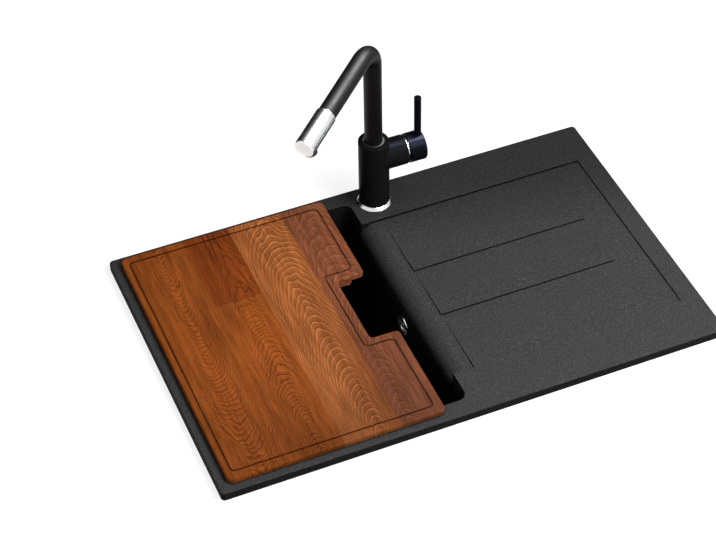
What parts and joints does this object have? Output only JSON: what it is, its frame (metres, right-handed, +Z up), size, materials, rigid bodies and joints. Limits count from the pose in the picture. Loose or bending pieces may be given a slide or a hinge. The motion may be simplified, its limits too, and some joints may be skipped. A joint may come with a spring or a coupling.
{
  "type": "kitchen sink with tap",
  "caption": "Inset granite composite sink with one bowl, a sloped drainer, a wooden board over the bowl and a lever mixer tap with pull-out spout.",
  "frame": {"origin": "centre of the sink on the worktop plane, on which the rim's underside rests", "axes": "+X along the sink from bowl to drainer, +Y to the back edge with the tap, +Z up"},
  "size_m": [0.79, 0.5, 0.6242],
  "materials": {
    "granite": "matte cast granite composite with fine speckle",
    "wood": "oiled edge-glued hardwood staves",
    "chrome": "polished",
    "black_lacquer": "satin black with a soft sheen",
    "steel": "brushed",
    "brass": "machined",
    "rubber": "matte",
    "grey_plastic": "moulded",
    "white_plastic": "moulded",
    "dark_plastic": "moulded"
  },
  "bodies": {
    "sink": {"basin": "granite", "overflow_rose": "chrome", "overflow_screw": "chrome", "overflow_gasket": "rubber", "overflow_elbow": "grey_plastic", "overflow_pipe": "grey_plastic", "pipe_nut_upper": "grey_plastic", "pipe_nut_lower": "grey_plastic", "strainer_flange": "steel", "flange_seal": "rubber", "waste_gasket": "rubber", "waste_body": "grey_plastic", "waste_screw": "steel", "tap_base_ring": "chrome", "tap_base_seal": "rubber", "tap_shank": "brass", "tap_rubber_washer": "rubber", "tap_steel_washer": "steel", "tap_lock_nut": "brass", "tap_body": "black_lacquer", "cartridge_body": "white_plastic", "cartridge_nut": "brass", "lever_trim_ring": "chrome", "spout_bush": "white_plastic", "spout_ring_upper": "rubber", "spout_ring_lower": "rubber"},
    "spout": {"spout_tube": "black_lacquer", "spout_retainer": "brass", "head_guide": "white_plastic"},
    "spray_head": {"head_shell": "chrome", "head_stem": "white_plastic", "aerator_housing": "chrome", "aerator_insert": "dark_plastic"},
    "mixer_rotor": {"cartridge_rotor": "white_plastic", "stem_pivot_pin": "steel"},
    "lever": {"lever_stem": "brass", "lever_knob": "black_lacquer", "lever_rod": "black_lacquer", "lever_grub_screw": "steel"},
    "strainer_basket": {"basket_cup": "steel", "basket_knob": "steel", "basket_seal": "rubber"},
    "board": {"cutting_board": "wood"}
  },
  "joints": [
    {"name": "spout_swivel", "type": "hinge", "parent": "sink", "child": "spout", "pos_m": [0.029, 0.215, 0.11], "axis": [0, 0, 1], "range_deg": [-60, 158]},
    {"name": "head_pull_out", "type": "slide", "parent": "spout", "child": "spray_head", "axis": [-0.7474, -0.6497, -0.1392], "range_m": [0, 0.2]},
    {"name": "lever_turn", "type": "hinge", "parent": "sink", "child": "mixer_rotor", "pos_m": [0.069, 0.215, 0.1032], "axis": [1, 0, 0], "range_deg": [-45, 45]},
    {"name": "lever_tilt", "type": "hinge", "parent": "mixer_rotor", "child": "lever", "pos_m": [0.069, 0.215, 0.1032], "axis": [0, 1, 0], "range_deg": [0, 20]},
    {"name": "board_lift", "type": "slide", "parent": "sink", "child": "board", "axis": [0, 0, 1], "range_m": [0, 0.2]},
    {"name": "basket_lift", "type": "slide", "parent": "sink", "child": "strainer_basket", "axis": [0, 0, 1], "range_m": [0, 0.15]}
  ]
}
